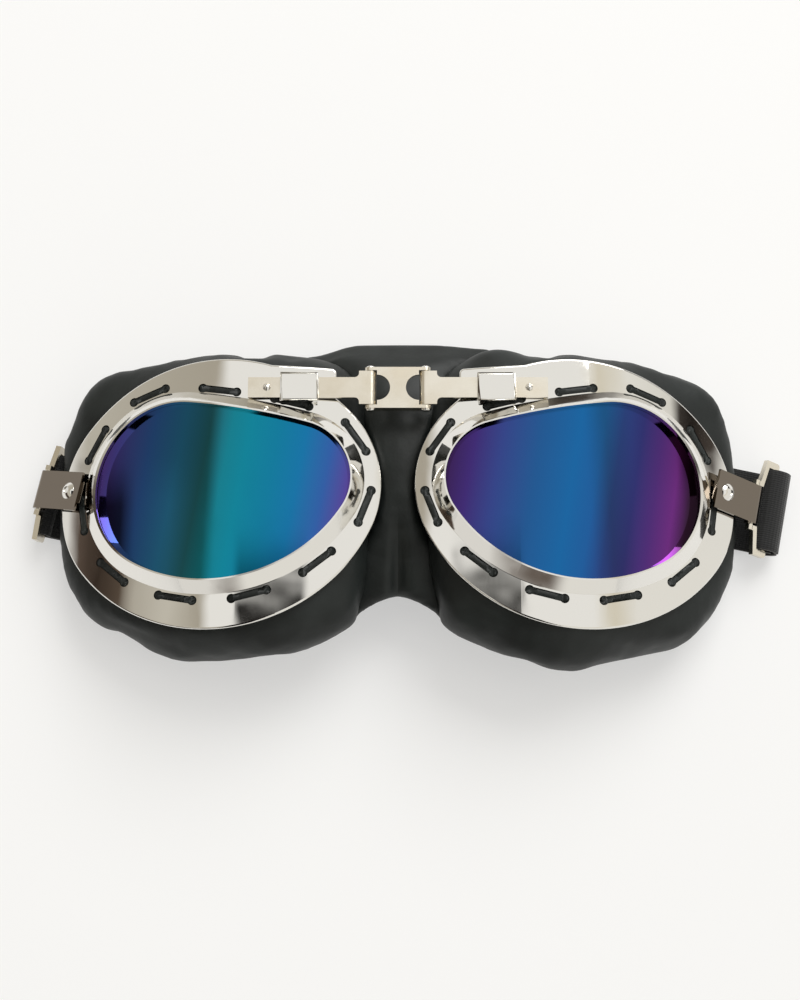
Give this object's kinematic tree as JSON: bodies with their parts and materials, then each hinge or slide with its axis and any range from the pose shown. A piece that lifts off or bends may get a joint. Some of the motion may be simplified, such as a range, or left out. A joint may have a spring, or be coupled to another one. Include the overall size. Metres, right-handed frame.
{
  "type": "steampunk goggles",
  "caption": "Aviator-style goggles with slotted chrome frames, mirrored lenses, padded black leather cups, a sliding hinged bridge and an elastic strap on swivelling loops.",
  "frame": {"origin": "on the table under the bridge: the mirror plane of the two eyes, at the height of the lens centres", "axes": "+X to the viewer's right, +Y to the brow, +Z out of the lenses; the goggles lie on their back"},
  "size_m": [0.2141, 0.0882, 0.0381],
  "materials": {
    "chrome": "polished",
    "lens": "mirror coated",
    "seal": "matte",
    "leather": "soft, semi-matte",
    "ring": "matte",
    "foam": "open-cell foam",
    "strap": "woven elastic",
    "slider": "matte"
  },
  "bodies": {
    "bridge": {"bridge_link": "chrome", "left_hinge_pin": "chrome", "right_hinge_pin": "chrome", "nose_leather": "leather", "long_strap": "strap", "short_strap": "strap"},
    "left_tongue": {"left_tongue": "chrome", "left_tongue_stop": "chrome"},
    "left_eye": {"left_frame_plate": "chrome", "left_lens_rim": "chrome", "left_lens": "lens", "left_lens_seal": "seal", "left_binding": "leather", "left_backing_ring": "ring", "left_pad_cover": "leather", "left_pad_foam": "foam", "left_keeper": "chrome", "left_temple_rivet": "chrome"},
    "left_bracket": {"left_temple_bracket": "chrome", "left_strap_end": "strap"},
    "left_loop": {"left_strap_loop": "chrome"},
    "right_tongue": {"right_tongue": "chrome", "right_tongue_stop": "chrome"},
    "right_eye": {"right_frame_plate": "chrome", "right_lens_rim": "chrome", "right_lens": "lens", "right_lens_seal": "seal", "right_binding": "leather", "right_backing_ring": "ring", "right_pad_cover": "leather", "right_pad_foam": "foam", "right_keeper": "chrome", "right_temple_rivet": "chrome"},
    "right_bracket": {"right_temple_bracket": "chrome", "right_strap_end": "strap"},
    "right_loop": {"right_strap_loop": "chrome"},
    "slider": {"strap_slider": "slider"}
  },
  "joints": [
    {"name": "left_fold", "type": "hinge", "parent": "bridge", "child": "left_tongue", "pos_m": [-0.00735, 0.027, 0.03396], "axis": [0, -1, 0], "range_deg": [-10, 18], "deforming": ["nose_leather", "short_strap"]},
    {"name": "left_slide", "type": "slide", "parent": "left_tongue", "child": "left_eye", "axis": [-1, 0, 0], "range_m": [-0.002, 0.0023]},
    {"name": "left_swivel", "type": "hinge", "parent": "left_eye", "child": "left_bracket", "pos_m": [-0.0894, 0.0024, 0.01639], "axis": [-0.5615, 0.1193, 0.8189], "range_deg": [-8, 8]},
    {"name": "left_swing", "type": "hinge", "parent": "left_bracket", "child": "left_loop", "pos_m": [-0.09905, 0.00445, 0.0099], "axis": [0.2079, 0.9781, 0], "range_deg": [-4, 95], "deforming": ["left_strap_end"]},
    {"name": "right_fold", "type": "hinge", "parent": "bridge", "child": "right_tongue", "pos_m": [0.00735, 0.027, 0.03396], "axis": [0, 1, 0], "range_deg": [-10, 18], "deforming": ["long_strap"]},
    {"name": "right_slide", "type": "slide", "parent": "right_tongue", "child": "right_eye", "axis": [1, 0, 0], "range_m": [-0.002, 0.0023]},
    {"name": "right_swivel", "type": "hinge", "parent": "right_eye", "child": "right_bracket", "pos_m": [0.0894, 0.0024, 0.01639], "axis": [0.5615, -0.1193, 0.8189], "range_deg": [-8, 8]},
    {"name": "right_swing", "type": "hinge", "parent": "right_bracket", "child": "right_loop", "pos_m": [0.09905, 0.00035, 0.0099], "axis": [-0.2079, -0.9781, 0], "range_deg": [-20, 60], "deforming": ["right_strap_end"]},
    {"name": "slider_slide", "type": "slide", "parent": "bridge", "child": "slider", "axis": [1, 0, 0], "range_m": [-0.003, 0.005]}
  ]
}
